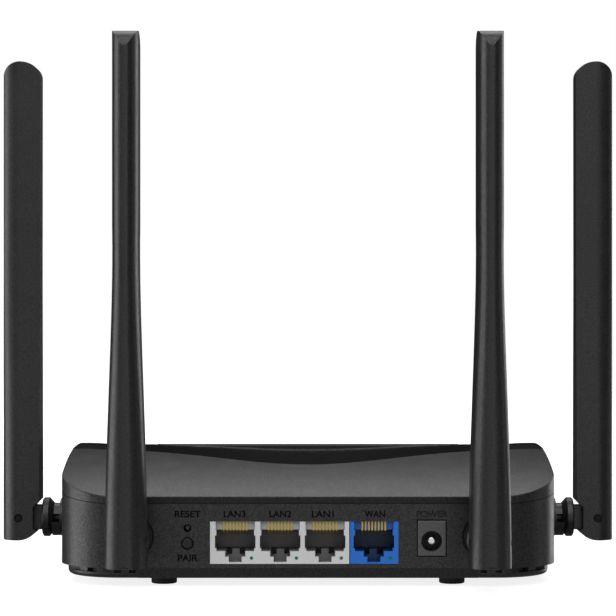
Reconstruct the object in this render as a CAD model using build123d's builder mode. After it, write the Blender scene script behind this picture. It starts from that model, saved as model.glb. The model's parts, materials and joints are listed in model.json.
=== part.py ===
from build123d import *
import math
import os

os.makedirs("parts", exist_ok=True)

# Wireless router with four folding antennas, in millimetres. +Z is up and the rear
# wall, which carries the jacks, faces -Y. The origin is on the floor under the middle
# of the whole router, antennas included. Depths are measured forward from the rear wall.

# Case
case_width = 156.7
case_depth = 125.0
rear_corner = 20.0
front_corner = 24.0
wall = 2.2
floor_bottom = 2.65
floor_top = 4.9
skirt_inset = 2.1
skirt_thickness = 2.0
skirt_top = 6.0
skirt_round = 1.3
ledge_top = 7.2
block_top = 45.0

# Seam between the tray and the cover
seam_rear = 25.85
seam_ridge = 31.35
seam_front = 27.5
lip_depth = 2.0
lip_gap = 0.1
groove_height = 0.18
groove_depth = 1.2
cover_wall = 3.2

# Crowned top and the sunken glossy deck
crease = 28.2
ridge = 40.6
ridge_depth = 66.0
front_height = 36.9
skin = 2.6
bell_side = 53.0
bell_rise = 25.7
bell_spread = 46.5
deck_start = 20.0
deck_end = 130.0
deck_front = 37.3
deck_front_dip = 1.1
deck_side_rise = 1.2
deck_rise_inner = 57.0
deck_rise_outer = 74.0
rim_round = 0.5
deck_thickness = 1.15
deck_gap = 0.06

# Light bar in the front edge
bar_width = 109.4
bar_depth = 4.0
bar_bottom = 30.5
bar_top = 37.38

# Rear recess with the jacks
recess_half = 50.0
recess_depth = 0.8
rear_chamfer_half = 53.0
rear_chamfer_inset = 3.0

# Vents in the skirt
vent_width = 2.0
vent_low = 4.35
vent_pitch = 4.65
vent_first = 54.65
corner_vent_angles = (29.6, 45.0, 60.4)

# Feet
foot_radius = 4.05
foot_seat_radius = 5.5
foot_seat_bottom = 1.9
foot_seat_depth = 0.6
rear_foot = (45.4, 13.0)
front_foot = (50.0, 110.0)

# Circuit board
board_bottom = 6.1
board_top = 7.3
board_width = 124.0
board_rear = 5.4
board_front = 88.0
board_screw_spots = ((56.0, 12.0), (54.0, 82.0))
case_screw_spots = ((69.0, 27.0), (66.0, 104.0))

# Network jacks
jack_face = 0.6
jack_depth = 21.0
jack_bottom = board_top
jack_top = 20.4
port_pitch = 13.95
lan_centres = (-22.6, -22.6 + port_pitch, -22.6 + 2 * port_pitch)
lan_left = -30.4
lan_right = 12.8
wan_left = 13.1
wan_right = 28.1
wan_centre = 20.45
contact_pitch = 1.016
contact_width = 0.5
contact_thickness = 0.35
comb_depth = 1.3
led_offset = 5.05
led_height = 9.1
led_radius = 0.52

# Power jack
power_left = 34.1
power_right = 42.7
power_low = 9.85
power_high = 20.7
power_gap = 0.35
power_x = 38.4
power_z = 14.3
power_radius = 3.25
power_pin_radius = 1.3

# Pairing button and reset
button_x = -37.45
button_z = 13.6
button_radius = 1.6
button_hole = 2.0
button_travel = 0.6
reset_z = 18.35
reset_hole = 1.25
reset_radius = 0.85
reset_travel = 0.3

# Antenna, drawn with X running outward from the wall and Y across the blade
mount_z = 15.8
rear_mount_x = 55.1
side_mount_depth = 68.9
barrel_radius = 4.75
barrel_bore = 3.2
bore_clearance = 0.08
barrel_slot = 2.7
pad_depth = 5.0
pad_radius = 9.2
pad_top = 23.6
lip_radius = 5.4
flange_radius = 6.6
cone_start = 7.7
flange_start = 9.4
flange_end = 11.6
hinge_out = 19.5
tongue_radius = 4.1
tongue_thickness = 5.0
slot_width = 5.2
slot_reach = 4.4
pin_radius = 1.2
cheek_clearance = 0.02
tongue_clearance = 0.06
blade_inner = 12.4
blade_outer = 25.1
blade_bottom = 8.3
blade_top = 170.3
blade_width = 8.05
hinge_swing = 7.5
ring_start = 5.0
ring_gap = 0.3
pin_half = 5.85
wall_recess_radius = 6.9
wall_recess_depth = 2.4
collar_clearance = 0.85
collar_thickness = 0.7
collar_reach = 5.6
shell_reach = 8.3
sleeve_radius = 2.3
sleeve_bore = 1.3

# Coaxial leads
coax_radius = 0.65


def from_rear(depth):
    """Y of a place that is this far forward of the rear wall."""
    return (blade_outer - case_depth) / 2 + depth


def rear_plane(depth):
    """Plane facing the rear, this far forward of the rear wall: local x is X, local y is Z."""
    return Plane.XZ.offset(-from_rear(depth))


def save(piece, name):
    """Label a finished piece and write its file."""
    piece.part.label = name
    export_step(piece.part, f"parts/{name}.step")


def mirrored(x, y):
    """A place and its mirror image on the other side of the router."""
    return [(-x, y), (x, y)]


# --- Solids that shape the case ---------------------------------------------------


def case_plan(inset):
    """Outline of the case in plan, drawn in by an inset."""
    with BuildSketch() as plan:
        with Locations((0, from_rear(case_depth / 2))):
            Rectangle(case_width - 2 * inset, case_depth - 2 * inset)
        fillet(plan.vertices().group_by(Axis.Y)[0], rear_corner - inset)
        fillet(plan.vertices().group_by(Axis.Y)[-1], front_corner - inset)
    return plan.sketch


def case_block(inset, bottom, top):
    """Prism of the case outline between two heights."""
    with BuildPart() as block:
        with BuildSketch(Plane.XY.offset(bottom)):
            add(case_plan(inset))
        extrude(amount=top - bottom)
    return block.part


def below_profile(rear_height, top_height, nose_height, flat):
    """Everything below a curved top that runs from the rear wall over a ridge to the front."""
    rear_y = from_rear(0)
    ridge_y = from_rear(ridge_depth)
    front_y = from_rear(case_depth)
    slope = 2 * (top_height - rear_height) / ridge_depth
    overhang = 6.0
    with BuildPart() as below:
        with BuildSketch(Plane.YZ.offset(-case_width)):
            with BuildLine():
                rise = Bezier((rear_y, rear_height), ((rear_y + ridge_y) / 2, top_height), (ridge_y, top_height))
                fall = Bezier((ridge_y, top_height), (ridge_y + flat, top_height), (front_y, nose_height))
                Polyline(
                    fall @ 1,
                    (front_y + overhang, nose_height - 0.5),
                    (front_y + overhang, 0),
                    (rear_y - overhang, 0),
                    (rear_y - overhang, rear_height - overhang * slope),
                    rise @ 0,
                )
            make_face()
        extrude(amount=2 * case_width)
    return below.part


def crown_height(depth):
    """Height of the crowned top behind its ridge."""
    return ridge - (ridge - crease) * (1 - depth / ridge_depth) ** 2


def bell(x):
    """Depth of the deck's curved rear edge."""
    return bell_side - bell_rise * math.exp(-((x / bell_spread) ** 2))


def deck_end_height(x):
    """Height of the deck surface at the front end of its ruled shape."""
    return deck_front - deck_front_dip * math.exp(-((x / bell_spread) ** 2))


def deck_start_height(x):
    """Height at the rear end, which makes the deck meet the crown exactly along the bell."""
    share = (bell(x) - deck_start) / (deck_end - deck_start)
    return (crown_height(bell(x)) - share * deck_end_height(x)) / (1 - share)


def side_share(x):
    """Share of the side rise: none over the middle of the deck, all of it at the sides."""
    share = (abs(x) - deck_rise_inner) / (deck_rise_outer - deck_rise_inner)
    share = min(max(share, 0), 1)
    return share * share * (3 - 2 * share)


def deck_height(x, depth, rise):
    """Height of the deck: a straight run from end to end, with a rise at the sides."""
    share = (depth - deck_start) / (deck_end - deck_start)
    straight = deck_start_height(x) * (1 - share) + deck_end_height(x) * share
    return straight + rise * deck_side_rise * side_share(x)


stations = [step * 6.0 - 84.0 for step in range(29)]
deck_sections = ((deck_start, 0.0), (48.0, 0.0), (68.0, 1.0), (100.0, 0.35), (deck_end, 0.0))


def above_deck(drop):
    """Everything above the deck surface, lowered by a drop."""
    with BuildPart() as above:
        for depth, rise in deck_sections:
            with BuildSketch(rear_plane(depth)):
                with BuildLine():
                    curve = Spline(*[(x, deck_height(x, depth, rise) - drop) for x in stations])
                    Polyline(curve @ 1, (stations[-1], 60), (stations[0], 60), curve @ 0)
                make_face()
        loft()
    return above.part


def deck_region(gap):
    """Prism over the deck's plan, in front of the bell edge by a gap."""
    edge_y = from_rear(case_depth + 10)
    with BuildPart() as region:
        with BuildSketch(Plane.XY.offset(20)):
            with BuildLine():
                edge = Spline(*[(x, from_rear(bell(x) + gap)) for x in stations])
                Polyline(edge @ 1, (stations[-1], edge_y), (stations[0], edge_y), edge @ 0)
            make_face()
        extrude(amount=40)
    return region.part


def is_outline(face):
    """Whether a face belongs to the upright outline of the case."""
    is_upright = abs(face.normal_at(face.center()).Z) < 0.01
    return is_upright and face.geom_type in (GeomType.PLANE, GeomType.CYLINDER)


def is_on_top(face):
    """Whether a face looks up."""
    return face.normal_at(face.center()).Z > 0.3


def rim_of(form):
    """Edges between a form's upright outline and its top."""
    return form.faces().filter_by(is_outline).edges() & form.faces().filter_by(is_on_top).edges()


with BuildPart() as crown_form:
    add(case_block(0, 15, block_top))
    add(below_profile(crease, ridge, front_height, 20.0), mode=Mode.INTERSECT)
    fillet(rim_of(crown_form), rim_round)

with BuildPart() as deck_form:
    add(case_block(0, 15, block_top))
    add(deck_region(deck_gap), mode=Mode.INTERSECT)
    add(above_deck(0), mode=Mode.SUBTRACT)
    fillet(rim_of(deck_form), rim_round)


def below_inner_skin():
    """Everything below the cover's inner face."""
    with BuildPart() as below:
        add(below_profile(crease - skin, ridge - skin, front_height - skin, 20.0))
        add(above_deck(skin), mode=Mode.SUBTRACT)
    return below.part


def below_seam(rise):
    """Everything below the seam, raised by a rise."""
    return below_profile(seam_rear, seam_ridge, seam_front, 30.0).moved(Location((0, 0, rise)))


def rear_recess():
    """Space outside the sunken rear panel and the slope above it."""
    depth_y = from_rear(recess_depth)
    outside_y = from_rear(-3)
    with BuildPart() as recess:
        with BuildSketch(Plane.YZ.offset(-recess_half)):
            Polygon(
                (from_rear(0), crease),
                (depth_y, seam_rear),
                (depth_y, skirt_top - 0.5),
                (outside_y, skirt_top - 0.5),
                (outside_y, crease),
                align=None,
            )
        extrude(amount=2 * recess_half)
    return recess.part


def rear_slope():
    """Space outside the inward slope along the bottom of the rear wall."""
    run = (rear_chamfer_inset - recess_depth) / (skirt_top - floor_bottom)
    top_z = skirt_top + recess_depth / run + 1
    with BuildPart() as slope:
        with BuildSketch(Plane.YZ.offset(-rear_chamfer_half)):
            Polygon(
                (from_rear(-run), top_z),
                (from_rear(rear_chamfer_inset + run), floor_bottom - 1),
                (from_rear(-run), floor_bottom - 1),
                align=None,
            )
        extrude(amount=2 * rear_chamfer_half)
    return slope.part


def light_bar_block(gap):
    """The light bar's envelope, larger by a gap at its ends, back and bottom."""
    with BuildPart() as block:
        with Locations((0, from_rear(case_depth), bar_bottom - gap)):
            Box(
                bar_width + 2 * gap,
                2 * (bar_depth + gap),
                bar_top - bar_bottom + gap,
                align=(Align.CENTER, Align.CENTER, Align.MIN),
            )
    return block.part


# --- Antenna places ---------------------------------------------------------------

antenna_places = {
    "rear_left": Location((-rear_mount_x, from_rear(0), 0), (0, 0, -90)),
    "rear_right": Location((rear_mount_x, from_rear(0), 0), (0, 0, -90)),
    "side_left": Location((-case_width / 2, from_rear(side_mount_depth), 0), (0, 0, 180)),
    "side_right": Location((case_width / 2, from_rear(side_mount_depth), 0), (0, 0, 0)),
}
rear_places = [place for name, place in antenna_places.items() if name.startswith("rear")]
side_places = [place for name, place in antenna_places.items() if name.startswith("side")]


def disc(start, end, radius):
    """Round solid about the mount axis between two distances outward from the wall."""
    with BuildPart() as solid:
        with BuildSketch(Plane.YZ.offset(start)):
            with Locations((0, mount_z)):
                Circle(radius)
        extrude(amount=end - start)
    return solid.part


def mount_pad():
    """Inner thickening around an antenna bore, cut off level below the cover's lip."""
    with BuildPart() as pad:
        add(disc(-pad_depth, -wall / 2, pad_radius))
        split(bisect_by=Plane.XY.offset(pad_top), keep=Keep.BOTTOM)
    return pad.part


def recess_cutter():
    """Round sinking in the rear wall with a bevelled mouth."""
    bevel = 0.35
    with BuildPart() as cutter:
        add(disc(-wall_recess_depth, 1, wall_recess_radius))
        with BuildSketch(Plane.YZ.offset(-recess_depth - bevel)):
            with Locations((0, mount_z)):
                Circle(wall_recess_radius)
        extrude(amount=recess_depth + bevel + 0.5, taper=-45)
    return cutter.part


def side_collar():
    """Low ring round a side antenna's barrel, standing out further along its lower half."""
    inner = barrel_radius + collar_clearance
    with BuildPart() as collar:
        add(disc(-wall / 2, shell_reach, inner + collar_thickness))
        split(bisect_by=Plane.XY.offset(mount_z - barrel_slot / 2), keep=Keep.BOTTOM)
        add(disc(-wall / 2, collar_reach, inner + collar_thickness))
        add(disc(-wall, shell_reach + 1, inner), mode=Mode.SUBTRACT)
    return collar.part


# --- Bottom case ------------------------------------------------------------------


def skirt():
    """Floor and skirt as one block with a rounded bottom edge."""
    with BuildPart() as block:
        add(case_block(skirt_inset, floor_bottom, skirt_top + 0.6))
        fillet(block.faces().sort_by(Axis.Z)[0].edges(), skirt_round)
    return block.part


def vent_spots():
    """Plan places and directions of the vents, from the rear round one side to the front."""
    run = case_width / 2 - rear_corner
    spots = [(vent_first, skirt_inset, 90.0), (vent_first + vent_pitch, skirt_inset, 90.0)]
    for angle in corner_vent_angles:
        reach = rear_corner - skirt_inset
        x = run + reach * math.sin(math.radians(angle))
        depth = rear_corner - reach * math.cos(math.radians(angle))
        spots.append((x, depth, 90.0 - angle))
    side_count = int((case_depth - rear_corner - front_corner) / vent_pitch)
    for step in range(side_count + 1):
        spots.append((case_width / 2 - skirt_inset, rear_corner + 1.5 + step * vent_pitch, 0.0))
    for angle in corner_vent_angles:
        reach = front_corner - skirt_inset
        x = case_width / 2 - front_corner + reach * math.cos(math.radians(90 - angle))
        depth = case_depth - front_corner + reach * math.sin(math.radians(90 - angle))
        spots.append((x, depth, angle - 90.0))
    return spots


def vent_cutters():
    """Small boxes through the skirt on both sides."""
    with BuildPart() as cutters:
        for x, depth, angle in vent_spots():
            for side in (-1, 1):
                turn = angle if side > 0 else 180.0 - angle
                with Locations(Location((side * x, from_rear(depth), vent_low), (0, 0, turn))):
                    Box(
                        3 * skirt_thickness,
                        vent_width,
                        skirt_top - vent_low,
                        align=(Align.CENTER, Align.CENTER, Align.MIN),
                    )
    return cutters.part


def tray_cavity():
    """Room inside the tray: narrow between the skirts, wide above the ledge."""
    with BuildPart() as room:
        add(case_block(skirt_inset + skirt_thickness, floor_top, ledge_top + 1))
        add(case_block(wall, ledge_top, block_top))
    return room.part


foot_spots = mirrored(rear_foot[0], from_rear(rear_foot[1])) + mirrored(front_foot[0], from_rear(front_foot[1]))
board_screws_xy = [spot for x, depth in board_screw_spots for spot in mirrored(x, from_rear(depth))]
case_screws_xy = [spot for x, depth in case_screw_spots for spot in mirrored(x, from_rear(depth))]

with BuildPart() as bottom_case:
    add(case_block(0, skirt_top, block_top))
    add(skirt())
    with Locations((0, from_rear(skirt_inset / 2 + 1), floor_bottom)):
        Box(2 * rear_chamfer_half, skirt_inset + 2, 4, align=(Align.CENTER, Align.CENTER, Align.MIN))
    add(below_seam(0), mode=Mode.INTERSECT)
    add(tray_cavity(), mode=Mode.SUBTRACT)
    # Ledge over the skirt's rear slope
    with Locations((0, from_rear(wall), floor_top)):
        Box(
            2 * rear_chamfer_half,
            skirt_inset + skirt_thickness - wall,
            ledge_top - floor_top,
            align=(Align.CENTER, Align.MIN, Align.MIN),
        )
    with Locations(*antenna_places.values()):
        add(mount_pad())
    with Locations(*side_places):
        add(side_collar())
    # Standoffs for the board and bosses for the case screws
    with BuildSketch(Plane.XY.offset(floor_top - 0.5)):
        with Locations(*board_screws_xy):
            Circle(3.0)
    extrude(amount=board_bottom - floor_top + 0.5)
    with BuildSketch(Plane.XY.offset(floor_top - 0.5)):
        with Locations(*case_screws_xy):
            Circle(4.2)
    extrude(amount=2.1)
    # Seats for the feet
    with BuildSketch(Plane.XY.offset(foot_seat_bottom)):
        with Locations(*foot_spots):
            Circle(foot_seat_radius)
    extrude(amount=floor_top - foot_seat_bottom - 0.5, taper=-8)
    with BuildSketch(Plane.XY.offset(foot_seat_bottom)):
        with Locations(*foot_spots):
            Circle(foot_radius + 0.05)
    extrude(amount=foot_seat_depth, mode=Mode.SUBTRACT)
    # Screw holes
    with Locations(*[(x, y, floor_bottom + 1.8) for x, y in case_screws_xy]):
        Cylinder(1.4, 3, align=(Align.CENTER, Align.CENTER, Align.MIN), mode=Mode.SUBTRACT)
        Cylinder(2.8, 4, align=(Align.CENTER, Align.CENTER, Align.MAX), mode=Mode.SUBTRACT)
    with Locations(*[(x, y, board_bottom) for x, y in board_screws_xy]):
        Cylinder(1.2, 2.6, align=(Align.CENTER, Align.CENTER, Align.MAX), mode=Mode.SUBTRACT)
    # Rear panel and its openings
    add(rear_recess(), mode=Mode.SUBTRACT)
    add(rear_slope(), mode=Mode.SUBTRACT)
    with BuildSketch(rear_plane(-1)):
        with Locations(((lan_left + wan_right) / 2, (jack_bottom + jack_top) / 2)):
            Rectangle(wan_right - lan_left + 0.2, jack_top - jack_bottom + 0.2)
        with Locations(((power_left + power_right) / 2, (power_low + power_high) / 2)):
            Rectangle(power_right - power_left + 2 * power_gap, power_high - power_low + 2 * power_gap)
        with Locations((button_x, button_z)):
            Circle(button_hole)
        with Locations((button_x, reset_z)):
            Circle(reset_hole)
    extrude(amount=-(wall + 2), mode=Mode.SUBTRACT)
    # Antenna bores, sunk into a round recess in the rear wall
    with Locations(*antenna_places.values()):
        add(disc(-pad_depth - 1, 1, barrel_radius + bore_clearance), mode=Mode.SUBTRACT)
    with Locations(*rear_places):
        add(recess_cutter(), mode=Mode.SUBTRACT)
    add(vent_cutters(), mode=Mode.SUBTRACT)

save(bottom_case, "bottom_case")

# --- Top cover, deck panel and light bar ------------------------------------------


def cover_lip():
    """Ring that drops inside the tray's wall."""
    with BuildPart() as lip:
        add(case_block(wall + lip_gap, 15, block_top))
        add(below_seam(-lip_depth), mode=Mode.SUBTRACT)
        add(below_seam(1), mode=Mode.INTERSECT)
    return lip.part


def seam_groove():
    """Thin groove round the outside along the cover's lower edge."""
    with BuildPart() as groove:
        add(case_block(-1, 15, block_top))
        add(case_block(groove_depth, 15, block_top), mode=Mode.SUBTRACT)
        add(below_seam(groove_height), mode=Mode.INTERSECT)
    return groove.part


def cover_cavity():
    """Room under the cover."""
    with BuildPart() as room:
        add(case_block(cover_wall, 10, block_top))
        add(below_inner_skin(), mode=Mode.INTERSECT)
    return room.part


def screw_posts():
    """Posts that reach down from the cover to the case screws."""
    with BuildPart() as posts:
        with BuildSketch(Plane.XY.offset(floor_top + 1.7)):
            with Locations(*case_screws_xy):
                Circle(3.2)
        extrude(amount=block_top)
        add(below_profile(crease - skin / 2, ridge - skin / 2, front_height - skin / 2, 20.0), mode=Mode.INTERSECT)
        add(above_deck(deck_thickness + skin / 2), mode=Mode.SUBTRACT)
        with Locations(*[(x, y, 0) for x, y in case_screws_xy]):
            Cylinder(1.15, 20, align=(Align.CENTER, Align.CENTER, Align.MIN), mode=Mode.SUBTRACT)
    return posts.part


def deck_pocket():
    """Shallow pocket that the deck panel lies in."""
    with BuildPart() as pocket:
        add(deck_region(0))
        add(above_deck(deck_thickness + 0.05), mode=Mode.INTERSECT)
    return pocket.part


with BuildPart() as top_cover:
    add(crown_form.part)
    add(below_seam(0), mode=Mode.SUBTRACT)
    add(seam_groove(), mode=Mode.SUBTRACT)
    add(cover_lip())
    add(cover_cavity(), mode=Mode.SUBTRACT)
    add(screw_posts())
    add(deck_pocket(), mode=Mode.SUBTRACT)
    add(rear_recess(), mode=Mode.SUBTRACT)
    add(light_bar_block(0.1), mode=Mode.SUBTRACT)

save(top_cover, "top_cover")

with BuildPart() as deck_panel:
    add(deck_form.part)
    add(above_deck(deck_thickness), mode=Mode.INTERSECT)
    add(light_bar_block(0.35), mode=Mode.SUBTRACT)

save(deck_panel, "deck_panel")

with BuildPart() as light_bar:
    add(case_block(0, bar_bottom, bar_top))
    add(light_bar_block(0), mode=Mode.INTERSECT)
    fillet(light_bar.edges().filter_by(Axis.X).group_by(Axis.Z)[-1], 0.6)

save(light_bar, "light_bar")

# --- Feet and case screws ---------------------------------------------------------

foot_names = ("foot_rear_left", "foot_rear_right", "foot_front_left", "foot_front_right")
for foot_name, spot in zip(foot_names, foot_spots):
    with BuildPart() as foot:
        with Locations((*spot, 0)):
            Cylinder(
                foot_radius,
                foot_seat_bottom + foot_seat_depth,
                align=(Align.CENTER, Align.CENTER, Align.MIN),
            )
        fillet(foot.edges().sort_by(Axis.Z)[0], 0.5)
    save(foot, foot_name)


def screws(spots, head_bottom, head_radius, head_height, shank_radius, shank_length, points_up):
    """Pan-head screws with a cross recess, heads at one height."""
    upward = 1 if points_up else -1
    head_side = (Align.MIN, Align.MAX)[points_up]
    shank_side = (Align.MAX, Align.MIN)[points_up]
    with BuildPart() as group:
        with Locations(*[(x, y, head_bottom) for x, y in spots]):
            Cylinder(head_radius, head_height, align=(Align.CENTER, Align.CENTER, head_side))
            Cylinder(shank_radius, shank_length, align=(Align.CENTER, Align.CENTER, shank_side))
        recess_z = head_bottom - upward * head_height
        with Locations(*[(x, y, recess_z) for x, y in spots]):
            Box(2.4, 0.6, 1.4, mode=Mode.SUBTRACT)
            Box(0.6, 2.4, 1.4, mode=Mode.SUBTRACT)
    return group


case_screws = screws(case_screws_xy, floor_bottom + 1.75, 2.6, 1.7, 1.1, 12.0, True)
save(case_screws, "case_screws")
board_screws = screws(board_screws_xy, board_top, 2.4, 1.5, 1.15, 3.6, False)
save(board_screws, "board_screws")

# --- Circuit board and what stands on it ------------------------------------------

with BuildPart() as main_board:
    with BuildSketch(Plane.XY.offset(board_bottom)):
        with Locations((0, from_rear((board_rear + board_front) / 2))):
            RectangleRounded(board_width, board_front - board_rear, 3)
        with Locations(*board_screws_xy):
            Circle(1.35, mode=Mode.SUBTRACT)
    extrude(amount=board_top - board_bottom)

save(main_board, "main_board")


def on_board(name, spots, width, depth, height, edge=0.0, base=board_top):
    """Identical blocks that stand on the board, with an optional softened top edge."""
    with BuildPart() as blocks:
        with Locations(*[(x, from_rear(y), base) for x, y in spots]):
            Box(width, depth, height, align=(Align.CENTER, Align.CENTER, Align.MIN))
        if edge:
            chamfer(blocks.faces().group_by(Axis.Z)[-1].edges(), edge)
    save(blocks, name)


soc_spot = (0.0, 48.0)
soc_height = 1.3
thermal_height = 0.6
wifi_spot = (36.0, 52.0)
can_height = 3.0
can_wall = 0.4

on_board("soc_chip", [soc_spot], 14.0, 14.0, soc_height)
on_board("thermal_pad", [soc_spot], 13.0, 13.0, thermal_height, base=board_top + soc_height)
on_board("wifi_chip", [wifi_spot], 9.0, 9.0, 0.9)
on_board("memory_chips", [(-20.0, 44.0), (-20.0, 56.0)], 10.0, 8.0, 1.1)
on_board("magnetics", [(x, 31.0) for x in (-22.6, -7.0, 8.6, 24.2)], 12.6, 8.0, 5.6, edge=0.4)
on_board("power_inductor", [(42.0, 34.0)], 8.0, 8.0, 4.2, edge=0.6)
on_board("crystals", [(16.0, 64.0), (36.0, 68.0)], 5.0, 3.2, 1.0)
led_spots = [(x, 84.0) for x in (-45.0, -15.0, 15.0, 45.0)]
on_board("status_leds", led_spots, 3.0, 1.6, 1.1)

with BuildPart() as heatsink:
    base_z = board_top + soc_height + thermal_height
    with Locations((soc_spot[0], from_rear(soc_spot[1]), base_z)):
        Box(24, 24, 2, align=(Align.CENTER, Align.CENTER, Align.MIN))
    with Locations((soc_spot[0], from_rear(soc_spot[1]), base_z + 1)):
        with GridLocations(3.2, 0, 8, 1):
            Box(1.0, 24, 9, align=(Align.CENTER, Align.CENTER, Align.MIN))

save(heatsink, "heatsink")

with BuildPart() as shield_can:
    with Locations((wifi_spot[0], from_rear(wifi_spot[1]), board_top)):
        Box(22, 20, can_height, align=(Align.CENTER, Align.CENTER, Align.MIN))
        Box(
            22 - 2 * can_wall,
            20 - 2 * can_wall,
            can_height - can_wall,
            align=(Align.CENTER, Align.CENTER, Align.MIN),
            mode=Mode.SUBTRACT,
        )
    with Locations((wifi_spot[0], from_rear(wifi_spot[1]), board_top + can_height)):
        with GridLocations(4, 4, 4, 4):
            Cylinder(0.7, 2, mode=Mode.SUBTRACT)

save(shield_can, "shield_can")

capacitor_places = [(48.0, 20.0), (40.0, 24.0), (56.0, 42.0), (-48.0, 20.0)]
with BuildPart() as capacitors:
    with Locations(*[(x, from_rear(depth), board_top) for x, depth in capacitor_places]):
        Cylinder(3.0, 1.0, align=(Align.CENTER, Align.CENTER, Align.MIN))
        Cylinder(2.8, 9.0, align=(Align.CENTER, Align.CENTER, Align.MIN))

save(capacitors, "capacitors")

with BuildPart() as light_guide:
    guide_top = 33.0
    leg_y = from_rear(led_spots[0][1])
    rear_face_y = from_rear(case_depth - bar_depth - 0.15)
    for led_x, _ in led_spots:
        with Locations((led_x, leg_y, board_top + 1.2)):
            Box(3, 2, guide_top - board_top - 1.2, align=(Align.CENTER, Align.CENTER, Align.MIN))
    with Locations((0, (leg_y - 1 + rear_face_y) / 2, guide_top)):
        Box(100, rear_face_y - leg_y + 1, 2, align=(Align.CENTER, Align.CENTER, Align.MAX))

save(light_guide, "light_guide")

# --- Network jacks ----------------------------------------------------------------

shoulder = jack_top - 9.2
ceiling = jack_top - 2.55
notch_floor = jack_top - 10.9
slot_floor = jack_top - 12.6


def opening(x, width, low, high):
    """Rectangle in a rear-facing sketch, between two heights."""
    with Locations((x, (low + high) / 2)):
        Rectangle(width, high - low)


def jack_body(left, right, centres):
    """Moulded jack housing with a stepped cavity for each plug."""
    with BuildPart() as body:
        with Locations(((left + right) / 2, from_rear(jack_face), jack_bottom)):
            Box(right - left, jack_depth, jack_top - jack_bottom, align=(Align.CENTER, Align.MIN, Align.MIN))
        with BuildSketch(rear_plane(jack_face)):
            for x in centres:
                opening(x, 11.7, shoulder, ceiling)
                opening(x, 12.6, jack_top - 8.3, jack_top - 4.3)
        extrude(amount=-13, mode=Mode.SUBTRACT)
        with BuildSketch(rear_plane(jack_face)):
            for x in centres:
                opening(x, 6.3, notch_floor, shoulder)
        extrude(amount=-2.6, mode=Mode.SUBTRACT)
        with BuildSketch(rear_plane(jack_face)):
            for x in centres:
                opening(x, 2.35, notch_floor, shoulder)
                opening(x, 4.0, slot_floor, notch_floor + 0.1)
        extrude(amount=-8, mode=Mode.SUBTRACT)
        with BuildSketch(rear_plane(jack_face)):
            for x in centres:
                opening(x - 2.05, 1.75, notch_floor, shoulder)
                opening(x + 2.05, 1.75, notch_floor, shoulder)
        extrude(amount=-16, mode=Mode.SUBTRACT)
        with BuildSketch(rear_plane(jack_face)):
            for x in centres:
                opening(x, 12.2, ceiling - 0.1, jack_top + 0.1)
        extrude(amount=-comb_depth, mode=Mode.SUBTRACT)
        with BuildSketch(rear_plane(jack_face)):
            with Locations(*[(x + led_offset, led_height) for x in centres]):
                Circle(led_radius + 0.03)
        extrude(amount=-4, mode=Mode.SUBTRACT)
    return body


def jack_contacts(centres):
    """Eight sprung gold wires for each port, hanging from the comb into the cavity."""
    front = jack_face + comb_depth
    with BuildPart() as wire:
        with BuildSketch(Plane.YZ.offset(-contact_width / 2)):
            Polygon(
                (from_rear(front - contact_thickness), jack_top - 0.03),
                (from_rear(front - contact_thickness), ceiling - 0.25),
                (from_rear(front + 5.6), jack_top - 4.5),
                (from_rear(front + 5.6), jack_top - 4.1),
                (from_rear(front), ceiling - 0.05),
                (from_rear(front), jack_top - 0.03),
                align=None,
            )
        extrude(amount=contact_width)
    with BuildPart() as wires:
        for x in centres:
            with Locations(*[(x + (pin - 3.5) * contact_pitch, 0, 0) for pin in range(8)]):
                add(wire.part)
    return wires


lan_jack_block = jack_body(lan_left, lan_right, lan_centres)
save(lan_jack_block, "lan_jack_block")
lan_contacts = jack_contacts(lan_centres)
save(lan_contacts, "lan_contacts")
wan_jack = jack_body(wan_left, wan_right, [wan_centre])
save(wan_jack, "wan_jack")
wan_contacts = jack_contacts([wan_centre])
save(wan_contacts, "wan_contacts")

with BuildPart() as port_leds:
    with BuildSketch(rear_plane(jack_face)):
        with Locations(*[(x + led_offset, led_height) for x in (*lan_centres, wan_centre)]):
            Circle(led_radius)
    extrude(amount=-3.9)

save(port_leds, "port_leds")

# --- Power jack -------------------------------------------------------------------

power_shell_depth = 14.0
power_bore_depth = 10.0

with BuildPart() as dc_jack_body:
    with BuildSketch(rear_plane(recess_depth - 0.2)):
        opening((power_left + power_right) / 2, power_right - power_left, power_low, power_high)
    extrude(amount=-2.8)
    chamfer(dc_jack_body.faces().sort_by(Axis.Y)[0].edges().sort_by(Axis.Z)[-1], 0.5)
    with BuildSketch(rear_plane(3.2)):
        opening(power_x, 9.0, board_top, 19.6)
    extrude(amount=-(power_shell_depth - 3.2))
    with BuildSketch(rear_plane(0)):
        with Locations((power_x, power_z)):
            Circle(power_radius)
    extrude(amount=-power_bore_depth, mode=Mode.SUBTRACT)

save(dc_jack_body, "dc_jack_body")

with BuildPart() as dc_jack_pin:
    with BuildSketch(rear_plane(1.8)):
        with Locations((power_x, power_z)):
            Circle(power_pin_radius)
    extrude(amount=-(power_bore_depth - 1.8))
    fillet(dc_jack_pin.edges().sort_by(Axis.Y)[0], 0.6)

save(dc_jack_pin, "dc_jack_pin")

# --- Pairing button, reset plunger and their switches ------------------------------


def round_bar(x, z, start, end, radius):
    """Round bar along Y between two depths."""
    with BuildPart() as bar:
        with BuildSketch(rear_plane(start)):
            with Locations((x, z)):
                Circle(radius)
        extrude(amount=-(end - start))
    return bar.part


stem_end = 10.0
reset_front = 3.0
reset_end = 8.0
stem_clearance = 0.06

with BuildPart() as pair_button:
    add(round_bar(button_x, button_z, recess_depth - 0.4, 6.0, button_radius))
    fillet(pair_button.edges().sort_by(Axis.Y)[0], 0.3)
    add(round_bar(button_x, button_z, wall + 0.1, wall + 0.9, button_hole + 0.7))
    add(round_bar(button_x, button_z, 6.0, stem_end, 0.9))

save(pair_button, "pair_button")

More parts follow.
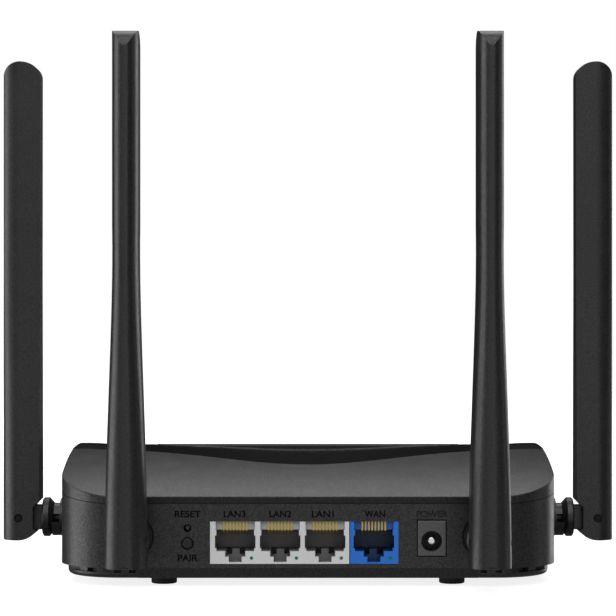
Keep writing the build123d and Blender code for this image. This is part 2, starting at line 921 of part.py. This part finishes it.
with BuildPart() as pair_switch:
    with Locations((button_x, from_rear(8.5), board_top)):
        Box(6.0, 4.5, 8.4, align=(Align.CENTER, Align.MIN, Align.MIN))
    add(round_bar(button_x, button_z, 8.0, stem_end + button_travel + 0.2, 0.9 + stem_clearance), mode=Mode.SUBTRACT)

save(pair_switch, "pair_switch")

with BuildPart() as reset_plunger:
    add(round_bar(button_x, reset_z, reset_front, reset_end, reset_radius))
    fillet(reset_plunger.edges().sort_by(Axis.Y)[0], 0.25)

save(reset_plunger, "reset_plunger")

with BuildPart() as reset_switch:
    with Locations((button_x, from_rear(6.5), 16.4)):
        Box(9.6, 5.0, 4.0, align=(Align.CENTER, Align.MIN, Align.MIN))
    with Locations((button_x - 4.3, from_rear(6.5), board_top), (button_x + 4.3, from_rear(6.5), board_top)):
        Box(1.0, 5.0, 10.0, align=(Align.CENTER, Align.MIN, Align.MIN))
    add(round_bar(button_x, reset_z, 6, reset_end + reset_travel + 0.2, reset_radius + stem_clearance), mode=Mode.SUBTRACT)

save(reset_switch, "reset_switch")

# --- Antennas, drawn once about their mount and placed four times ------------------


def hinge_bar(radius, half_length):
    """Round bar along the hinge axis."""
    with BuildPart() as bar:
        with BuildSketch(Plane.XZ.offset(-half_length)):
            with Locations((hinge_out, mount_z)):
                Circle(radius)
        extrude(amount=2 * half_length)
    return bar.part


def across(half_width, *points):
    """Prism across the antenna of an outline given as outward and height pairs."""
    with BuildPart() as prism:
        with BuildSketch(Plane.XZ.offset(-half_width)):
            Polygon(*points, align=None)
        extrude(amount=2 * half_width)
    return prism.part


with BuildPart() as knuckle_shape:
    # Split barrel with a snap lip, cone and flange, turned about the mount axis
    with BuildSketch(Plane.XZ):
        with BuildLine():
            Polyline(
                (-pad_depth - 1.6, mount_z + barrel_bore),
                (-pad_depth - 1.6, mount_z + barrel_radius - 0.4),
                (-pad_depth - 0.7, mount_z + lip_radius),
                (-pad_depth - 0.15, mount_z + lip_radius),
                (-pad_depth - 0.15, mount_z + barrel_radius),
                (cone_start, mount_z + barrel_radius),
                (flange_start, mount_z + flange_radius),
                (flange_end - 0.5, mount_z + flange_radius),
                (flange_end, mount_z + flange_radius - 0.5),
                (flange_end, mount_z),
                (flange_start, mount_z),
                (flange_start - 0.6, mount_z + barrel_bore),
                close=True,
            )
        make_face()
    revolve(axis=Axis((0, 0, mount_z), (1, 0, 0)))
    add(
        across(
            10,
            (-10, mount_z - barrel_slot / 2),
            (cone_start, mount_z - barrel_slot / 2),
            (cone_start, mount_z + barrel_slot / 2),
            (-10, mount_z + barrel_slot / 2),
        ),
        mode=Mode.SUBTRACT,
    )
    # Sleeve for the lead inside the split barrel
    with BuildSketch(Plane.YZ.offset(-pad_depth)):
        with Locations((0, mount_z)):
            Circle(sleeve_radius)
            Circle(sleeve_bore, mode=Mode.SUBTRACT)
    extrude(amount=pad_depth + flange_start + 0.1)
    # Tongue with a round end about the hinge
    add(
        across(
            tongue_thickness / 2,
            (flange_end - 0.5, mount_z - tongue_radius),
            (hinge_out, mount_z - tongue_radius),
            (hinge_out, mount_z + tongue_radius),
            (flange_end - 0.5, mount_z + tongue_radius),
        )
    )
    add(hinge_bar(tongue_radius, tongue_thickness / 2))
    add(hinge_bar(pin_radius + tongue_clearance, tongue_thickness), mode=Mode.SUBTRACT)

with BuildPart() as pin_shape:
    add(hinge_bar(pin_radius, pin_half))
    chamfer(pin_shape.edges().filter_by(GeomType.CIRCLE), 0.2)


blade_middle = (blade_inner + blade_outer) / 2

# Heights of the blade's sections with, on one half, the outer face's place and half width,
# how far the turn runs across before it bends back, the half width, and the turn's reach inward
blade_sections = (
    (blade_bottom - 0.4, blade_outer, 0.30, 4.00, 6.35, 5.5),
    (44.0, blade_outer, 0.30, 3.60, 5.65, 5.6),
    (68.0, blade_outer, 0.30, 3.10, 4.80, 5.8),
    (92.0, blade_outer, 0.30, 2.65, 4.08, 6.0),
    (112.0, blade_outer, 0.30, 2.60, blade_width / 2, 6.0),
)


def blade_outline(face, flat, turn, half, reach):
    """Section of the blade: flat outer face, rounded shoulders, flat cheeks, square inner face."""
    start = blade_inner - 0.2
    bend = 0.6
    with BuildSketch() as outline:
        with BuildLine():
            Line((face, -flat), (face, flat))
            Bezier((face, flat), (face, flat + turn), (face - bend * reach, half), (face - reach, half))
            Polyline((face - reach, half), (start, half), (start, -half), (face - reach, -half))
            Bezier((face - reach, -half), (face - bend * reach, -half), (face, -flat - turn), (face, -flat))
        make_face()
    return outline.sketch


def blade_side():
    """Side outline of the blade as a thick prism."""
    shoulder_z = blade_top - 5.4
    arc_low = (hinge_out - 0.7 * hinge_swing, mount_z - math.sqrt(1 - 0.7**2) * hinge_swing)
    arc_high = (hinge_out - 0.82 * hinge_swing, mount_z - math.sqrt(1 - 0.82**2) * hinge_swing)
    crown_x = blade_middle + 0.6
    quarter = math.sqrt(0.5)
    inner = (blade_inner - 0.1, shoulder_z)
    outer = (blade_outer + 0.01, shoulder_z)
    end = 0.9
    with BuildPart() as prism:
        with BuildSketch(Plane.XZ.offset(-20)):
            with BuildLine():
                Bezier(inner, (inner[0], blade_top), (crown_x, blade_top), weights=[1, quarter, 1])
                Bezier((crown_x, blade_top), (outer[0], blade_top), outer, weights=[1, quarter, 1])
                Line(outer, (blade_outer + 0.01, blade_bottom + end))
                RadiusArc((blade_outer + 0.01, blade_bottom + end), (blade_outer - end, blade_bottom), end)
                Line((blade_outer - end, blade_bottom), (hinge_out, blade_bottom))
                ThreePointArc((hinge_out, blade_bottom), arc_low, arc_high)
                Polyline(
                    arc_high,
                    (blade_inner + 2.2, mount_z - 3.6),
                    (blade_inner + 2.2, mount_z + 3.7),
                    (blade_inner, mount_z + 6),
                    inner,
                )
            make_face()
        extrude(amount=40)
    return prism.part


def blade_body():
    """Solid blade: a swollen foot that runs smoothly into the shaft."""
    with BuildPart() as body:
        for height, *shape in blade_sections:
            with BuildSketch(Plane.XY.offset(height)):
                add(blade_outline(*shape))
        loft()
        shaft_bottom, *shape = blade_sections[-1]
        with BuildSketch(Plane.XY.offset(shaft_bottom)):
            add(blade_outline(*shape))
        extrude(amount=blade_top + 1 - shaft_bottom)
    return body.part


def blade_slot():
    """Slot for the tongue, open towards the wall and downward."""
    top = mount_z + slot_reach
    out = hinge_out + slot_reach
    with BuildPart() as slot:
        with BuildSketch(Plane.XZ.offset(-slot_width / 2)):
            with BuildLine():
                Polyline((out, top - slot_reach), (out, 0), (0, 0), (0, top), (hinge_out, top))
                RadiusArc((hinge_out, top), (out, mount_z), slot_reach)
            make_face()
        extrude(amount=slot_width)
    return slot.part


def pin_rings():
    """Ring-shaped sinkings around both ends of the hinge pin."""
    with BuildPart() as rings:
        add(hinge_bar(pin_radius + ring_gap, 10))
        add(hinge_bar(pin_radius + ring_gap + 1, ring_start), mode=Mode.SUBTRACT)
    return rings.part


cavity_bottom = 26.0
cavity_top = 160.0
cavity_depth = 9.2
cavity_width = 4.6

with BuildPart() as blade_shape:
    add(blade_body())
    add(blade_side(), mode=Mode.INTERSECT)
    add(blade_slot(), mode=Mode.SUBTRACT)
    add(hinge_bar(pin_radius + cheek_clearance, 10), mode=Mode.SUBTRACT)
    add(pin_rings(), mode=Mode.SUBTRACT)
    # Hollow for the radiator, reached from the slot by a lead-in for the cable
    with Locations((blade_middle, 0, cavity_bottom)):
        Box(
            cavity_depth,
            cavity_width,
            cavity_top - cavity_bottom,
            align=(Align.CENTER, Align.CENTER, Align.MIN),
            mode=Mode.SUBTRACT,
        )
    with Locations((blade_middle, 0, mount_z)):
        Cylinder(1.2, cavity_bottom - mount_z + 1, align=(Align.CENTER, Align.CENTER, Align.MIN), mode=Mode.SUBTRACT)

with BuildPart() as radiator_shape:
    with Locations((blade_middle, 0, cavity_bottom + 3)):
        Box(
            cavity_depth - 0.6,
            1.0,
            cavity_top - cavity_bottom - 3,
            align=(Align.CENTER, Align.CENTER, Align.MIN),
        )

antenna_pieces = {
    "knuckle": knuckle_shape,
    "hinge_pin": pin_shape,
    "blade": blade_shape,
    "radiator": radiator_shape,
}
for antenna, place in antenna_places.items():
    for piece_name, shape in antenna_pieces.items():
        with BuildPart() as piece:
            with Locations(place):
                add(shape.part)
        save(piece, f"{antenna}_{piece_name}")

# --- Coaxial leads from the board to the antenna barrels ---------------------------

lead_end = 6.0
plug_height = 2.0

lead_routes = {
    "rear_left": (-rear_mount_x, 26.0),
    "rear_right": (rear_mount_x, 30.0),
    "side_left": (-52.0, 62.0),
    "side_right": (53.0, 60.0),
}


def lead_points(antenna):
    """Route of a lead: up from its plug on the board, then along the mount axis into the barrel."""
    place = antenna_places[antenna]
    x, depth = lead_routes[antenna]
    start = Vector(x, from_rear(depth), board_top + plug_height)
    mouth = (place * Location((-12, 0, mount_z))).position
    end = (place * Location((lead_end, 0, mount_z))).position
    level = Vector(mouth.X, mouth.Y, 0) - Vector(start.X, start.Y, 0)
    lift = start + level * 0.3 + Vector(0, 0, 0.45 * (mount_z - start.Z))
    return [start, lift, mouth, end]


for antenna in antenna_places:
    with BuildPart() as lead:
        with BuildLine() as route:
            FilletPolyline(*lead_points(antenna), radius=6)
        with BuildSketch(Plane(origin=route.wires()[0] @ 0, z_dir=route.wires()[0] % 0)):
            Circle(coax_radius)
        sweep()
    save(lead, f"coax_{antenna}")

with BuildPart() as coax_plugs:
    plug_spots = [(x, from_rear(depth), board_top) for x, depth in lead_routes.values()]
    with Locations(*plug_spots):
        Cylinder(1.5, plug_height - 0.55, align=(Align.CENTER, Align.CENTER, Align.MIN))

save(coax_plugs, "coax_plugs")
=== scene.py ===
import json
import math

import bpy
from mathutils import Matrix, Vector


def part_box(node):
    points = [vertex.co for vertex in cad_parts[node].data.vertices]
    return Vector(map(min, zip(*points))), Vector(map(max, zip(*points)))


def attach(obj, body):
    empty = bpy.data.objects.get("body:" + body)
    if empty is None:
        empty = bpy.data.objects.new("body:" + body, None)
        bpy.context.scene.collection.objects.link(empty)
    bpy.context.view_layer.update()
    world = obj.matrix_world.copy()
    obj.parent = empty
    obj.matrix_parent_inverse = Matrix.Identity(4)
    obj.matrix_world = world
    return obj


# Looks of a wireless router with four folding antennas. Metres, +Z up; the rear wall
# with the jacks faces -Y.

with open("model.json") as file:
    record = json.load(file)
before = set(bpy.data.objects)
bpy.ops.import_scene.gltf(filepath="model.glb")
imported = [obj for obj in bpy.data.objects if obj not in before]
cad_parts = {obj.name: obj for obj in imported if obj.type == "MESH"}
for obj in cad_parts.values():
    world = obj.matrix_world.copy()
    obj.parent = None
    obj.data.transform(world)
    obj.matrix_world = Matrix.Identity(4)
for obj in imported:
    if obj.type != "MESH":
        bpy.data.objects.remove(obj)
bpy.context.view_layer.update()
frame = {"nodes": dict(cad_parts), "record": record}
nodes = frame["nodes"]
record = frame["record"]
mounts = {mount["name"]: Vector(mount["pos_m"]) for mount in record["mounts"]}
MM = 0.001

REAR_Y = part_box("bottom_case")[0].y
PANEL_Y = REAR_Y + 0.8 * MM  # floor of the recess that holds the jacks
CENTRE = Vector((0.0, 0.0, 0.06))

# Printed letters on the rear panel
CAP_HEIGHT = 2.1 * MM
LABEL_Z = 22.65 * MM
PAIR_LABEL_Z = 9.0 * MM
LAN_SHIFTS_MM = ((3, -0.2), (2, 0.0), (1, -0.5))
WAN_SHIFT = 0.4 * MM

# Studio
FLOOR_HALF = 6.0
ROOM_BOTTOM = -0.5
ROOM_TOP = 8.0
FLOOR_GLOW_NEAR = 0.84
FLOOR_GLOW_FAR = 1.0
BOUNCE_RADIANCE = 0.15

# Soft boxes: name, degrees round from the rear side, degrees up, width, height, radiance
LIGHTS = [
    ("front_mid", 180, 52, 2.2, 0.5, 2.1),
    ("front_high", 180, 72, 2.0, 0.6, 2.2),
    ("top_rear", 0, 66, 1.8, 0.9, 1.8),
    ("left", 88, 6, 1.3, 1.3, 2.4),
    ("left_rear", 50, 6, 0.5, 1.3, 0.6),
    ("right_front", -140, 8, 0.7, 1.2, 1.5),
    ("right", -95, 8, 0.5, 1.2, 0.5),
    ("right_rear", -16, 6, 0.3, 1.2, 0.4),
    ("rear", 0, 6, 1.6, 1.0, 0.46),
    ("rear_high", 0, 38, 1.8, 0.6, 2.2),
]


# --- Camera -----------------------------------------------------------------------


def make_camera():
    """Level camera behind the router, far enough away for the flat look of a product shot."""
    distance = 710 * MM
    height = 86.1 * MM
    data = bpy.data.cameras.new("camera")
    data.lens = 133.8
    data.sensor_width = 36.0
    data.shift_y = 0.00325
    data.clip_start = 0.01
    data.clip_end = 50.0
    camera = bpy.data.objects.new("camera", data)
    camera.location = (0.0, REAR_Y - distance, height)
    camera.rotation_euler = (math.radians(90), 0.0, 0.0)
    bpy.context.scene.collection.objects.link(camera)
    bpy.context.scene.camera = camera


# --- Materials --------------------------------------------------------------------


class Surface:
    """A node material under construction: a shader, object coordinates and small helpers."""

    def __init__(self, name):
        self.material = bpy.data.materials.new(name)
        self.material.use_nodes = True
        self.tree = self.material.node_tree
        self.shader = self.tree.nodes["Principled BSDF"]
        self.coords = self.tree.nodes.new("ShaderNodeTexCoord").outputs["Object"]

    def set(self, **values):
        """Set constants on the shader's own sockets."""
        for name, value in values.items():
            socket = self.shader.inputs[name.replace("_", " ")]
            if name.endswith("Color") or name.endswith("Tint"):
                value = (*value, 1.0)
            socket.default_value = value
        return self

    def link(self, source, target):
        self.tree.links.new(source, target)

    def noise(self, size_mm, detail=2.0, roughness=0.5, stretch=None):
        """Noise whose lumps are about this many millimetres across."""
        coords = self.coords
        if stretch:
            mapping = self.tree.nodes.new("ShaderNodeMapping")
            mapping.inputs["Scale"].default_value = stretch
            self.link(coords, mapping.inputs["Vector"])
            coords = mapping.outputs["Vector"]
        node = self.tree.nodes.new("ShaderNodeTexNoise")
        node.inputs["Scale"].default_value = 1.0 / (size_mm * MM)
        node.inputs["Detail"].default_value = detail
        node.inputs["Roughness"].default_value = roughness
        self.link(coords, node.inputs["Vector"])
        return node.outputs["Fac"]

    def spread(self, source, low, high, start=0.3, end=0.7):
        """Map a pattern onto a range of values."""
        node = self.tree.nodes.new("ShaderNodeMapRange")
        node.inputs["From Min"].default_value = start
        node.inputs["From Max"].default_value = end
        node.inputs["To Min"].default_value = low
        node.inputs["To Max"].default_value = high
        self.link(source, node.inputs["Value"])
        return node.outputs["Result"]

    def colours(self, source, dark, light, start=0.3, end=0.7):
        """Colour that runs between two shades with a pattern."""
        ramp = self.tree.nodes.new("ShaderNodeValToRGB")
        ramp.color_ramp.elements[0].position = start
        ramp.color_ramp.elements[0].color = (*dark, 1.0)
        ramp.color_ramp.elements[1].position = end
        ramp.color_ramp.elements[1].color = (*light, 1.0)
        self.link(source, ramp.inputs["Fac"])
        self.link(ramp.outputs["Color"], self.shader.inputs["Base Color"])
        return self

    def roughen(self, source, low, high):
        """Roughness that runs between two values with a pattern."""
        self.link(self.spread(source, low, high), self.shader.inputs["Roughness"])
        return self

    def bump(self, source, depth_mm, strength=1.0):
        """Relief from a pattern, on top of any relief already there."""
        node = self.tree.nodes.new("ShaderNodeBump")
        node.inputs["Strength"].default_value = strength
        node.inputs["Distance"].default_value = depth_mm * MM
        self.link(source, node.inputs["Height"])
        normal = self.shader.inputs["Normal"]
        if normal.is_linked:
            self.link(normal.links[0].from_socket, node.inputs["Normal"])
        self.link(node.outputs["Normal"], normal)
        return self

    def paint_shade_inside(self, start_mm, end_mm, factor):
        """Paint shade into the colour between two depths behind the rear wall: darker deeper in, standing
        in for the shade inside a deep opening.
        """
        place = self.tree.nodes.new("ShaderNodeSeparateXYZ")
        self.link(self.coords, place.inputs["Vector"])
        scale = self.tree.nodes.new("ShaderNodeVectorMath")
        scale.operation = "SCALE"
        base = self.shader.inputs["Base Color"]
        self.link(base.links[0].from_socket, scale.inputs["Vector"])
        low, high = REAR_Y + start_mm * MM, REAR_Y + end_mm * MM
        self.link(self.spread(place.outputs["Y"], 1.0, factor, low, high), scale.inputs["Scale"])
        self.link(scale.outputs["Vector"], base)
        return self


def shade(colour, factor):
    """A colour made lighter or darker."""
    return tuple(min(1.0, channel * factor) for channel in colour)


def moulded(name, colour, roughness, grain_mm, depth_mm, variation=0.25, specular=0.5):
    """Moulded plastic with a fine spark-eroded grain and slight mottling."""
    surface = Surface(name)
    grain = surface.noise(grain_mm, detail=3.0, roughness=0.6)
    flecks = surface.spread(grain, specular * (1 - variation), specular * (1 + variation), 0.38, 0.62)
    surface.link(flecks, surface.shader.inputs["Specular IOR Level"])
    surface.colours(grain, shade(colour, 1 - variation), shade(colour, 1 + variation))
    surface.roughen(surface.noise(grain_mm * 12, detail=2.0), roughness - 0.04, roughness + 0.04)
    surface.bump(surface.noise(grain_mm * 30, detail=1.0), depth_mm * 0.6, 0.3)
    surface.bump(grain, depth_mm)
    return surface


def metal(name, colour, roughness, brush_mm=0.4, depth_mm=0.004):
    """Metal with fine scratches or plating texture."""
    surface = Surface(name)
    surface.set(Metallic=1.0)
    streaks = surface.noise(brush_mm, detail=4.0, stretch=(1.0, 0.15, 1.0))
    surface.colours(streaks, shade(colour, 0.85), shade(colour, 1.1))
    surface.roughen(streaks, roughness - 0.05, roughness + 0.08)
    surface.bump(streaks, depth_mm, 0.5)
    return surface


def clear(name, colour, roughness, alpha):
    """Clear or tinted moulding with faint flow marks."""
    surface = Surface(name)
    surface.set(Alpha=alpha, IOR=1.49)
    flow = surface.noise(6.0, detail=2.0)
    surface.colours(flow, shade(colour, 0.95), colour)
    surface.roughen(flow, roughness, roughness + 0.05)
    surface.bump(flow, 0.02, 0.3)
    return surface


def make_materials():
    """One material for each material slot of the record."""
    white = moulded("jack_white", (0.76, 0.76, 0.76), 0.42, 0.6, 0.004, 0.03)
    blue = moulded("jack_blue", (0.0095, 0.172, 0.68), 0.42, 0.6, 0.004, 0.06)
    made = {
        "case_plastic": moulded("case_plastic", (0.016, 0.016, 0.0163), 0.36, 0.50, 0.026, 0.32),
        "deck_gloss": moulded("deck_gloss", (0.003, 0.003, 0.0032), 0.08, 0.25, 0.0002, 0.12, 0.3),
        "light_bar_tint": moulded("light_bar_tint", (0.010, 0.010, 0.011), 0.25, 0.5, 0.002, 0.1),
        "foot_rubber": moulded("foot_rubber", (0.018, 0.018, 0.018), 0.75, 0.4, 0.02, 0.3, 0.3),
        "screw_steel": metal("screw_steel", (0.45, 0.45, 0.47), 0.35),
        "board_green": moulded("board_green", (0.010, 0.085, 0.035), 0.35, 0.8, 0.008, 0.3),
        # Painted shade: the jack colours darken deeper inside the openings, standing in for the shade in
        # there.
        "jack_white": white.paint_shade_inside(0.8, 2.6, 0.24),
        "jack_blue": blue.paint_shade_inside(0.8, 2.6, 0.20),
        "contact_gold": metal("contact_gold", (0.66, 0.47, 0.09), 0.34, 0.2).set(Metallic=0.6),
        "led_green": moulded("led_green", (0.004, 0.19, 0.05), 0.3, 0.5, 0.002, 0.1),
        "led_white": moulded("led_white", (0.75, 0.74, 0.66), 0.35, 0.5, 0.002, 0.05),
        "power_jack_black": moulded("power_jack_black", (0.085, 0.085, 0.086), 0.5, 0.4, 0.008, 0.2),
        "pin_chrome": metal("pin_chrome", (0.85, 0.85, 0.86), 0.12, 0.5, 0.001),
        "button_plastic": moulded("button_plastic", (0.013, 0.013, 0.0133), 0.5, 0.3, 0.01, 0.3, 0.4),
        "plunger_brown": moulded("plunger_brown", (0.14, 0.08, 0.028), 0.4, 0.4, 0.004, 0.2),
        "switch_black": moulded("switch_black", (0.015, 0.015, 0.015), 0.5, 0.4, 0.008, 0.2),
        "chip_black": moulded("chip_black", (0.016, 0.016, 0.017), 0.6, 0.25, 0.01, 0.3),
        "inductor_grey": moulded("inductor_grey", (0.10, 0.10, 0.10), 0.7, 0.3, 0.02, 0.3),
        "capacitor_sleeve": metal("capacitor_sleeve", (0.62, 0.62, 0.64), 0.3),
        "can_tin": metal("can_tin", (0.66, 0.66, 0.66), 0.32),
        "heatsink_aluminium": metal("heatsink_aluminium", (0.74, 0.74, 0.76), 0.38, 0.6),
        "thermal_silicone": moulded("thermal_silicone", (0.22, 0.42, 0.58), 0.8, 0.5, 0.02, 0.1, 0.3),
        "guide_clear": clear("guide_clear", (0.85, 0.87, 0.90), 0.12, 0.45),
        "coax_jacket": moulded("coax_jacket", (0.022, 0.022, 0.022), 0.45, 0.3, 0.005, 0.2),
        "coax_brass": metal("coax_brass", (0.78, 0.56, 0.24), 0.3),
        "antenna_plastic": moulded("antenna_plastic", (0.015, 0.015, 0.0153), 0.35, 0.50, 0.012, 0.18),
        "knuckle_plastic": moulded("knuckle_plastic", (0.015, 0.015, 0.0153), 0.35, 0.50, 0.018, 0.28),
        "hinge_steel": moulded("hinge_steel", (0.006, 0.006, 0.0062), 0.42, 0.3, 0.006, 0.2, 0.2),
        "radiator_board": moulded("radiator_board", (0.012, 0.090, 0.040), 0.4, 0.8, 0.008, 0.3),
    }
    return {slot: surface.material for slot, surface in made.items()}


def dress_nodes(materials):
    """Give every CAD node the material of its slot."""
    for part in record["subparts"]:
        mesh = nodes[part["node"]].data
        mesh.materials.clear()
        mesh.materials.append(materials[part["material_slot"]])


# --- Printed labels ---------------------------------------------------------------


def print_material():
    """Dark printing ink on the rear panel."""
    return moulded("label_ink", (0.002, 0.002, 0.002), 0.7, 0.3, 0.002, 0.3, 0.03).material


def print_label(name, text, centre_x, centre_z, width, height, ink):
    """Flat printed word on the rear panel, fitted to a width and a height."""
    data = bpy.data.curves.new(name, "FONT")
    data.body = text
    data.align_x = "CENTER"
    data.align_y = "CENTER"
    data.extrude = 0.004
    data.offset = 0.022
    data.materials.append(ink)
    label = bpy.data.objects.new(name, data)
    bpy.context.scene.collection.objects.link(label)
    bpy.context.view_layer.update()
    size = label.dimensions
    label.scale = (width / size.x, height / size.y, MM)
    label.rotation_euler = (math.radians(90), 0.0, 0.0)
    label.location = (centre_x, PANEL_Y, centre_z)
    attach(label, "case")


def make_labels():
    """Words beside the jacks, the buttons and the power inlet."""
    black = print_material()
    faint = moulded("label_ink_faint", (0.008, 0.008, 0.008), 0.6, 0.3, 0.004, 0.2, 0.25).material
    cap = CAP_HEIGHT
    above = LABEL_Z
    button_low, button_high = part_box("pair_button")
    button_x = (button_low.x + button_high.x) / 2
    print_label("label_reset", "RESET", button_x, above, 8.1 * MM, cap, black)
    print_label("label_pair", "PAIR", button_x, PAIR_LABEL_Z, 6.2 * MM, cap, black)
    for number, shift in LAN_SHIFTS_MM:
        place = mounts[f"lan_port_{number}"].x + shift * MM
        print_label(f"label_lan_{number}", f"LAN{number}", place, above, 6.8 * MM, cap, black)
    print_label("label_wan", "WAN", mounts["wan_port"].x + WAN_SHIFT, above, 6.4 * MM, cap, black)
    print_label("label_power", "POWER", mounts["power_inlet"].x, above, 9.7 * MM, cap, faint)


# --- Studio -----------------------------------------------------------------------


def soft_box(name, around, above, width, height, radiance, distance=1.5):
    """Rectangular soft box aimed at the router: degrees round from the rear side and degrees up."""
    turn, lift = math.radians(around), math.radians(above)
    direction = Vector((-math.sin(turn) * math.cos(lift), -math.cos(turn) * math.cos(lift), math.sin(lift)))
    data = bpy.data.lights.new(name, "AREA")
    data.shape = "RECTANGLE"
    data.size, data.size_y = width, height
    data.energy = radiance * math.pi * width * height
    box = bpy.data.objects.new(name, data)
    box.location = CENTRE + direction * distance
    box.rotation_euler = (-direction).to_track_quat("-Z", "Y").to_euler()
    box.visible_camera = False
    bpy.context.scene.collection.objects.link(box)


def floor_bounce(radiance):
    """Light that the pale floor behind the router throws back up at its rear wall."""
    depth, width = 1.6, 2.4
    data = bpy.data.lights.new("floor_bounce", "AREA")
    data.shape = "RECTANGLE"
    data.size, data.size_y = width, depth
    data.energy = radiance * math.pi * width * depth
    bounce = bpy.data.objects.new("floor_bounce", data)
    bounce.location = (0.0, REAR_Y + 0.012 - depth / 2, 0.0005)
    bounce.rotation_euler = (math.pi, 0.0, 0.0)
    bounce.visible_camera = False
    bpy.context.scene.collection.objects.link(bounce)


def stage_mesh(name, corners, faces, material):
    """Backdrop or floor: seen by the camera, but it throws no light of its own on the router."""
    mesh = bpy.data.meshes.new(name)
    mesh.from_pydata(corners, [], faces)
    mesh.materials.append(material)
    piece = bpy.data.objects.new(name, mesh)
    bpy.context.scene.collection.objects.link(piece)
    piece.visible_diffuse = False
    piece.visible_glossy = False
    piece.visible_transmission = False
    return piece


def make_studio():
    """Pale floor and surroundings, a dim room and soft boxes."""
    world = bpy.data.worlds.new("studio")
    bpy.context.scene.world = world
    world.use_nodes = True
    tree = world.node_tree
    background = tree.nodes["Background"]
    background.inputs["Color"].default_value = (1.0, 1.0, 1.0, 1.0)
    direction = tree.nodes.new("ShaderNodeSeparateXYZ")
    tree.links.new(tree.nodes.new("ShaderNodeTexCoord").outputs["Generated"], direction.inputs["Vector"])
    glow = tree.nodes.new("ShaderNodeValToRGB")
    glow.color_ramp.elements[0].position = 0.5
    glow.color_ramp.elements[0].color = (0.008, 0.008, 0.008, 1.0)
    glow.color_ramp.elements[1].position = 0.8
    glow.color_ramp.elements[1].color = (0.10, 0.10, 0.10, 1.0)
    low = glow.color_ramp.elements.new(0.4)
    low.color = (0.12, 0.12, 0.12, 1.0)
    lift = tree.nodes.new("ShaderNodeMapRange")
    lift.inputs["From Min"].default_value = -1.0
    tree.links.new(direction.outputs["Z"], lift.inputs["Value"])
    tree.links.new(lift.outputs["Result"], glow.inputs["Fac"])
    tree.links.new(glow.outputs["Color"], background.inputs["Color"])

    half = FLOOR_HALF
    paper = Surface("floor_paper")
    paper.set(Roughness=0.9, Specular_IOR_Level=0.0, Emission_Color=(1.0, 1.0, 1.0))
    paper.colours(paper.noise(400.0), (0.48, 0.48, 0.48), (0.50, 0.50, 0.50))
    distance = paper.tree.nodes.new("ShaderNodeVectorMath")
    distance.operation = "LENGTH"
    paper.link(paper.coords, distance.inputs[0])
    glow_strength = paper.spread(distance.outputs["Value"], FLOOR_GLOW_NEAR, FLOOR_GLOW_FAR, 0.25, 0.9)
    paper.link(glow_strength, paper.shader.inputs["Emission Strength"])
    corners = [(-half, -half, 0), (half, -half, 0), (half, half, 0), (-half, half, 0)]
    stage_mesh("floor", corners, [(0, 1, 2, 3)], paper.material)

    white = Surface("backdrop_white")
    white.set(Specular_IOR_Level=0.0, Emission_Color=(1.0, 1.0, 1.0), Emission_Strength=1.0)
    white.colours(white.noise(2000.0), (0.05, 0.05, 0.05), (0.06, 0.06, 0.06))
    plan = ((-half, -half), (half, -half), (half, half), (-half, half))
    corners = [(x, y, z) for z in (ROOM_BOTTOM, ROOM_TOP) for x, y in plan]
    walls = [(0, 1, 5, 4), (1, 2, 6, 5), (2, 3, 7, 6), (3, 0, 4, 7), (4, 5, 6, 7)]
    backdrop = stage_mesh("backdrop", corners, walls, white.material)
    backdrop.visible_shadow = False

    for light in LIGHTS:
        soft_box(*light)
    floor_bounce(BOUNCE_RADIANCE)


make_camera()
dress_nodes(make_materials())
make_labels()
make_studio()
bpy.context.scene.view_settings.view_transform = "Standard"
